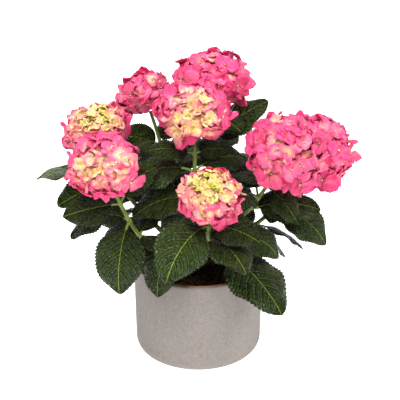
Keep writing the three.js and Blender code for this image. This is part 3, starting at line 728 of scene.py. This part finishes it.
def leaf_face(dark, light, vein, vein_strength):
    """Paint for one face of a blade, from its own map: tone that drifts, a midrib, side veins and the
    small net between them, with painted shade in the creases of the net and beside the side veins."""
    def paint(at):
        flat = at.node("ShaderNodeUVMap", uv_map="blade")
        share = (flat.part(0) - PETIOLE) / (1 - PETIOLE)
        share = share.maths("MINIMUM", share.maths("MAXIMUM", share, 0.001), 0.999)
        side = abs(flat.part(1) * 2 - 1)
        half = share ** BLADE_ROOT * (1 - share) ** BLADE_TIP * (0.5 * LEAF_BREADTH / BLADE_WIDEST)
        rib = 1 - (side * half).step(0.003, 0.009)
        shape = at.node("ShaderNodeCombineXYZ", {"X": share, "Y": (flat.part(1) - 0.5) * half * 2})
        bend = 0.5 * (shape.noise(6.0, 1.0) - 0.5)
        phase = vein_phase(share, side) + bend
        off_vein = abs((phase + 0.5).fraction() - 0.5)
        veins = 1 - off_vein.step(0.02, 0.09 - 0.05 * side)
        net, small = (shape.node("ShaderNodeTexVoronoi", {"Vector": shape, "Scale": scale},
                                 feature="DISTANCE_TO_EDGE") for scale in (15.0, 44.0))
        drift = shape.noise(7.0, 3.0).step(0.3, 0.75)
        tone = drift.mix(dark, light)
        # painted shade: the net's creases and the bands beside the side veins darken towards a shadow
        # colour
        crease_shade = 1 - net.step(0.0, 0.12) * off_vein.step(0.04, 0.18)
        shadow = tuple(0.45 * level for level in dark[:3]) + (1.0,)
        lines = rib.maths("MAXIMUM", rib, veins * vein_strength)
        quilting = 0.6 * net.step(0.0, 0.3) + 0.2 * small.step(0.0, 0.3)
        height = quilting + 0.9 * off_vein.step(0.0, 0.3) - rib
        return {"Base Color": lines.mix((crease_shade * 0.8).mix(tone, shadow), vein),
                "Roughness": 0.24 + 0.12 * drift + 0.4 * side.step(0.82, 0.96),
                "Normal": height.bump(1.0, 0.003)}
    return paint


draw = Draws(1907)
stem_lines = {name: bezier(curve, np.linspace(0, 1, LINE_POINTS)) for name, curve in curves.items()}
leaves = grow_leaves()
UPPER_TONES = (
    # name, dark, light, and the share of the leaves that have this tone
    ("deep", (24, 36, 8), (40, 58, 13), 0.45),
    ("green", (28, 42, 8), (43, 61, 12), 0.38),
    ("fresh", (30, 45, 7), (46, 65, 11), 0.17),
)
VEIN = colour(132, 150, 62)
upper_faces = [finish(f"leaf_upper_{name}", leaf_face(colour(*dark), colour(*light), VEIN, 0.27),
                      Specular_IOR_Level=0.26) for name, dark, light, _ in UPPER_TONES]
lower_face = finish("leaf_lower", leaf_face(colour(84, 102, 58), colour(104, 122, 74),
                                            colour(150, 162, 110), 0.6), Specular_IOR_Level=0.25)
stalk_face = finish("leaf_stalk", Base_Color=colour(112, 130, 52), Roughness=0.45,
                    Specular_IOR_Level=0.35)
leaf_finishes = [*upper_faces, lower_face, stalk_face]
lower_number, stalk_number = len(upper_faces), len(upper_faces) + 1
tone_shares = [common for *_, common in UPPER_TONES]
tones = np.random.default_rng(77)
for number, name in enumerate(SHOOTS):
    own = [leaf for leaf in leaves if leaf["shoot"] == name]
    rings, rows, sides = leaf_rings(own, np.random.default_rng(100 + number))
    points, faces, (face_ring, face_place), (ring, place) = skin(rings)
    copies = np.arange(len(points)) // (len(points) // len(own))
    flat = np.stack([rows[ring], 0.5 + 0.5 * sides[copies, ring, place]], -1)
    tone = tones.choice(len(upper_faces), len(own), p=tone_shares)
    shades = np.repeat(tone, len(faces) // len(own))
    shades[face_place >= 2 * LEAF_COLUMNS] = lower_number
    shades[face_ring < STALK_ROWS] = stalk_number
    make_piece(f"leaf_blades_{name}", points, faces, leaf_finishes, [f"leaves_{name}"], "foliage",
               shades, {"blade": flat})

# ---------------------------------------- blooms
# A mophead is a dome of florets on branching stalks. Each floret has four broad pointed sepals
# round a tiny bead of a bud. Young ones in the middle are small, cupped and yellow-green to cream;
# they open to pale rose and then to full pink at the rim.
BLOOM_EDGE = 122
FLORET_RADIUS = 26
YOUNGEST = 0.2  # radius of a bud of a floret over that of a ripe one
ROOM = 0.34  # distance between two florets over the sum of their radii
SEAT = 13  # how deep the florets' middles stand under the bloom's outside
SEAT_UNEVEN = 2.4  # and by how much that varies
FACING_UNEVEN = 0.26
PLACES = 900  # tried for florets on each bloom
TOP_SMALLER = 0.24  # by how much florets are smaller at the top
BUD_CUP = 0.85  # how steeply a bud's sepals rise, and how much less a ripe floret's do
CUP_OPENS = 0.68
NEIGHBOUR_AIR = 8  # blooms nearer than this part their florets between them
OVERLAP = 4  # of a floret's middle, over that parting
# The dark core stands for the crowded inner buds; its dark brown is painted shade between florets.
HEART = 0.66  # size of the dark core, over the bloom's size
HEART_EDGE = 150  # angle from the bloom's top where the core ends, in degrees
HEART_UNEVEN = 1.6
HEART_SIDES = 36
BLOOMS = {
    # name: ripeness of its young middle, what is gained at a right angle from there, and the
    # (heading, from upright) of that middle; the gain goes with the square of the angle
    "back": (0.88, 0.2, (270, 30)),
    "top": (0.36, 1.0, (266, 64)),
    "back_left": (0.76, 0.3, (270, 60)),
    "left": (0.12, 0.85, (268, 34)),
    "front_left": (0.50, 0.7, (264, 62)),
    "front": (0.08, 0.8, (270, 30)),
    "front_right": (0.74, 0.4, (262, 62)),
    "right": (0.86, 0.2, (290, 50)),
}
TINTS = (
    # name, middle, rim, where the rim's colour begins along the sepal, and where it is full
    ("bud_green", colour(140, 140, 30), colour(208, 194, 92), 0.1, 0.8),
    ("cream", colour(184, 174, 60), colour(230, 192, 142), 0.1, 0.8),
    ("blush", colour(222, 194, 116), colour(228, 140, 138), 0.15, 1.0),
    ("pale_rose", colour(230, 184, 140), colour(226, 90, 128), 0.15, 0.9),
    ("rose", colour(228, 130, 134), colour(220, 66, 118), 0.0, 0.65),
    ("full_pink", colour(222, 86, 122), colour(216, 52, 110), 0.0, 0.6),
)
SEPAL_ROWS = np.array([0, 0.14, 0.32, 0.52, 0.72, 0.89, 1.0])
SEPAL_SIDES = np.array([1, 0.72, 0.38, 0, -0.38, -0.72, -1])
SEPAL_ROUND = np.r_[SEPAL_SIDES, SEPAL_SIDES[-2:0:-1]]  # over the upper face and back under


def around(axis):
    """Two unit vectors that make a right-handed set with each axis."""
    a = unit(np.stack([axis[..., 1], -axis[..., 0], 0 * axis[..., 2]], -1))
    return a, np.cross(axis, a)


def sepal_rings(middle, a, b, outward, radius, turn, cup, rng):
    """Rings round four sepals for each floret. A sepal widens past its middle and comes to a short
    point; it lifts from the floret's middle by its cup, falls to its sides, and its margin waves."""
    count = len(middle)
    a, b, outward, middle, radius, turn, cup = (
        w[:, None, None, None] for w in (a, b, outward, middle, radius, turn, cup))

    def each(low, high):
        """One draw for each sepal."""
        return rng.uniform(low, high, (count, 4, 1, 1))

    share = SEPAL_ROWS[None, None, :, None]
    side = SEPAL_ROUND[None, None, None, :]
    face = np.r_[0, np.ones(5), 0, -np.ones(5)][None, None, None, :]
    length = radius * each(0.82, 1.12)
    scallop = 1 + each(0.03, 0.12) * np.sin(11 * share + each(0, 6.28) + 2 * np.sign(side))
    half = length * each(0.48, 0.66) * (share ** 0.78 * (1 - share) ** 0.86 / 0.32) * scallop
    out = length * (0.02 + 0.98 * share)
    x = half * side
    order = np.array([0, 1, 0, 1])[None, :, None, None] * 0.06
    wave = np.sin(5.2 * side + 4 * share + each(0, 6.28)) * each(0.05, 0.13) * share
    lift = length * (cup * share ** 1.3 - each(-0.15, 0.5) * share ** 3 + order
                     - each(-0.2, 0.34) * side ** 2 * share + each(-0.24, 0.24) * side * share + wave)
    lift = lift + 0.3 * face * (half > 0)
    angle = turn + np.arange(4)[None, :, None, None] * np.pi / 2 + each(-0.16, 0.16)
    x = x + each(-0.2, 0.2) * out * share
    u = out * np.cos(angle) - x * np.sin(angle)
    v = out * np.sin(angle) + x * np.cos(angle)
    rings = middle + a * u[..., None] + b * v[..., None] + outward * lift[..., None]
    return rings.reshape(count * 4, len(SEPAL_ROWS), -1, 3)


def sepal_face(middle, rim, low, high):
    """Paint for a sepal from its own map: the middle colour turns to the rim's towards the edge, in
    uneven patches, with fine veins that run out to it, and pale patches on the rim colour that are
    partly paler zones of the sepal and partly painted highlight."""
    def paint(at):
        flat = at.node("ShaderNodeUVMap", uv_map="sepal")
        out, side = flat.part(0), abs(flat.part(1) * 2 - 1)
        fine = abs(((flat.part(1) - 0.5) * 9 / (0.6 + out)).fraction() - 0.5)
        patchy = at.noise(90.0, 3.0)
        blend = (out + 0.25 * side * side + 1.4 * (patchy - 0.5)).step(low, high)
        # pale patches over the rim colour: partly paler zones of the sepal, partly painted highlight
        pale = tuple(light + 0.24 * (1 - light) for light in rim[:3]) + (1.0,)
        pale_and_highlight_patches = at.noise(110.0, 2.0).step(0.5, 0.72) * 0.32
        veined = blend * (1 - 0.12 * fine.step(0.0, 0.3))
        return {"Base Color": veined.mix(middle, pale_and_highlight_patches.mix(rim, pale)),
                "Normal": (fine.step(0.0, 0.3) + 2 * patchy).bump(0.4, 0.0012)}
    return paint


sepal_finishes = [finish(f"sepal_{name}", sepal_face(*rest), Roughness=0.55, Specular_IOR_Level=0.2,
                         Sheen_Weight=0.1) for name, *rest in TINTS]
bead_finish = finish("floret_bead", Base_Color=colour(196, 190, 130), Roughness=0.5)
stalk_finish = finish("flower_stalk", Base_Color=colour(150, 158, 84), Roughness=0.55)
# painted shade: the dark brown of the core, seen in the gaps between florets
core_shade_finish = finish("bloom_core_painted_shade", Base_Color=colour(120, 70, 52), Roughness=0.8)
bloom_names = list(BLOOMS)
ripest = len(TINTS) - 1
turns = whole_turn(HEART_SIDES)
polar = np.radians(np.linspace(0, HEART_EDGE, 22))[:, None]
round_heart = np.stack([np.sin(polar) * np.cos(turns), np.cos(polar) + 0 * turns,
                        np.sin(polar) * np.sin(turns)], -1)
branches, hearts = [], []
for number, name in enumerate(bloom_names):
    rng = np.random.default_rng(40 + number)
    _, end, (wide, deep), (lean, off_upright), _ = SHOOTS[name]
    least, gain, young = BLOOMS[name]
    axis = direction(lean, 90 - off_upright)
    side_a, side_b = around(axis)
    centre = np.array(end, float)
    drop = 1 - math.cos(math.radians(BLOOM_EDGE))
    up = 1 - drop * (np.arange(PLACES) + 0.5) / PLACES
    out = np.sqrt(1 - up * up)
    angle = np.arange(PLACES) * math.pi * (3 - math.sqrt(5))
    ball = np.stack([out * np.cos(angle), up, out * np.sin(angle)], -1)
    frame_axes = np.stack([side_a, axis, side_b])
    outward = unit((ball / [wide, deep, wide]) @ frame_axes)
    youngest = direction(young[0], 90 - young[1])
    from_young = np.degrees(np.arccos(np.clip(ball @ frame_axes @ youngest, -1, 1)))
    ripeness = np.clip(least + gain * (from_young / 90) ** 2 + rng.normal(0, 0.1, PLACES), 0, 1)
    radius = FLORET_RADIUS * (YOUNGEST + (1 - YOUNGEST) * ripeness) * rng.uniform(0.84, 1.06, PLACES)
    radius *= 1 - TOP_SMALLER * np.clip(0.5 + 0.5 * up, 0, 1)
    middle = centre + (ball * [wide - SEAT, deep - SEAT, wide - SEAT]) @ frame_axes
    kept = []
    for place in rng.permutation(PLACES):
        apart = np.linalg.norm(middle[kept] - middle[place], axis=1)
        if (apart > ROOM * (radius[kept] + radius[place])).all():
            kept.append(place)
    middle, outward, radius, ripeness = (x[kept] for x in (middle, outward, radius, ripeness))
    count = len(kept)
    middle = middle + outward * rng.normal(0, SEAT_UNEVEN, count)[:, None]
    facing = unit(outward + rng.normal(0, FACING_UNEVEN, (count, 3)))
    a, b = around(facing)
    cup = BUD_CUP - CUP_OPENS * ripeness + rng.normal(0, 0.12, count)
    keep = np.ones(count, bool)
    for other in bloom_names:
        if other == name:
            continue
        apart = np.array(SHOOTS[other][1], float) - centre
        distance = np.linalg.norm(apart)
        reach = wide + SHOOTS[other][2][0]
        if distance < reach + NEIGHBOUR_AIR:
            keep &= (middle - centre) @ (apart / distance) < wide / reach * distance + OVERLAP
    middle, a, b, facing, radius, cup, ripeness = (
        x[keep] for x in (middle, a, b, facing, radius, cup, ripeness))
    count = len(middle)
    turn = rng.uniform(0, np.pi / 2, count)
    rings = sepal_rings(middle, a, b, facing, radius, turn, cup, rng)
    points, faces, _, (ring, place) = skin(rings)
    flat = np.stack([SEPAL_ROWS[ring], 0.5 + 0.5 * SEPAL_ROUND[place]], -1)
    tint = np.clip(np.round(ripeness * ripest + rng.normal(0, 0.35, count)), 0, ripest).astype(int)
    shades = np.repeat(tint, len(faces) // count)
    heart = centre + (round_heart * [wide, deep, wide] * HEART) @ frame_axes
    heart = heart + HEART_UNEVEN * ripple(heart, 9, number)[..., None] * axis
    hearts.append(heart)
    make_piece(f"sepals_{name}", points, faces, sepal_finishes, [f"bloom_{name}"],
               "cream_bloom" if name in ("left", "front") else "pink_bloom", shades, {"sepal": flat})
    branches.append((name, middle, facing, radius))

# The beads in the middle of the florets, the stalks that carry them, each a curve from the stem's
# tip into its floret from behind, and a dark brown core in each bloom that stands for the crowded
# inner buds and is painted shade in the gaps between the florets.
BEAD_SIZE = 0.085  # over the floret's radius
BEAD_RISE = 0.9
STALK_STRAIGHT = 14  # how far behind a floret its stalk is led in
STALK_THICKNESS = (0, 1.5, 1.2, 1.0, 0.8, 0)
bloom_nodes = [f"bloom_{name}" for name in bloom_names]
beads, stalks = [], []
turn = whole_turn(6)
for name, middle, facing, radius in branches:
    a, b = around(facing)
    spread = np.array([0, 0.8, 0.9, 0])[:, None]
    height = np.array([-0.6, -0.1, 0.7, 1.1])[:, None]
    ring = (a[:, None, None] * (spread * np.cos(turn))[..., None]
            + b[:, None, None] * (spread * np.sin(turn))[..., None]
            + facing[:, None, None] * (height + 0 * turn)[..., None])
    seat = (middle + facing * BEAD_RISE)[:, None, None]
    beads.append(seat + ring * (BEAD_SIZE * radius)[:, None, None, None])
    tip = bezier(curves[name], 1.0)
    share = np.linspace(0, 1, len(STALK_THICKNESS))
    start = tip + 0 * middle
    fork = start + (middle - start) * 0.45 + (np.array(SHOOTS[name][1]) - tip) * 0.25
    below = middle - facing * STALK_STRAIGHT
    path = bezier([start[:, None], fork[:, None], below[:, None], middle[:, None]], share)
    thick = np.broadcast_to(STALK_THICKNESS, path.shape[:2])
    stalks.append(tube(path, thick, 5, np.array([0.31, 0.87, 0.38])))
make_plain("bloom_cores_painted_shade", np.stack(hearts)[:, ::-1], core_shade_finish, bloom_nodes, "pink_bloom")
make_plain("floret_beads", np.concatenate(beads), bead_finish, bloom_nodes, "cream_bloom")
make_plain("flower_stalks", np.concatenate(stalks), stalk_finish, bloom_nodes, "green_stem")

# ---------------------------------------- studio
# A wide white floor that glows a little, under a sky that is brightest behind and above. Three
# square soft lamps stand high at the left, high at the right, and in front. The camera stands 1.7 m
# in front of the pot's middle at a height of 1 m, and looks down by 24 degrees.
FLOOR_REACH = 6.0
FLOOR_LEVEL = -0.0005
CAMERA_DOWN = 24
LAMP_TARGET = Vector((0, 0, 0.2))
LAMPS = (
    # name, place, size, power
    ("key", (-0.7, -0.5, 2.3), 0.7, 50),
    ("fill", (1.4, -0.6, 1.9), 0.8, 34),
    ("front", (0.0, -1.6, 1.9), 1.0, 37),
)
corners = [(x * FLOOR_REACH, y * FLOOR_REACH, FLOOR_LEVEL) for x, y in ((-1, -1), (1, -1), (1, 1), (-1, 1))]
floor_mesh = bpy.data.meshes.new("studio_floor")
floor_mesh.from_pydata(corners, [], [(0, 1, 2, 3)])
floor_mesh.materials.append(finish("studio_floor", Base_Color=(0.9, 0.9, 0.9, 1), Roughness=0.2,
                                   Emission_Color=(1, 1, 1, 1), Emission_Strength=1.0))
added("studio_floor", floor_mesh)

world = bpy.data.worlds.new("studio")
bpy.context.scene.world = world
world.use_nodes = True
background = world.node_tree.nodes["Background"]
sky = Shade(world.node_tree).node("ShaderNodeTexCoord")
glow = 0.1 + 0.2 * sky.part(2).step(0.1, 0.9) + 0.7 * sky.part(1).step(0.2, 0.8)
world.node_tree.links.new(glow.socket, background.inputs["Strength"])
background.inputs["Color"].default_value = (1, 1, 1, 1)

for name, place, size, power in LAMPS:
    lamp = bpy.data.lights.new(name, "AREA")
    lamp.shape, lamp.size, lamp.energy = "SQUARE", size, power
    made = added(name, lamp)
    made.location = place
    made.rotation_euler = (LAMP_TARGET - Vector(place)).to_track_quat("-Z", "Y").to_euler()

camera = bpy.data.cameras.new("camera")
camera.lens = 116.1
camera.sensor_width = 36
stand = added("camera", camera)
stand.location = (0.0025, -1.7013, 0.9932)
stand.rotation_euler = (math.radians(90 - CAMERA_DOWN), 0, 0)
bpy.context.scene.camera = stand
bpy.context.scene.view_settings.view_transform = "Standard"
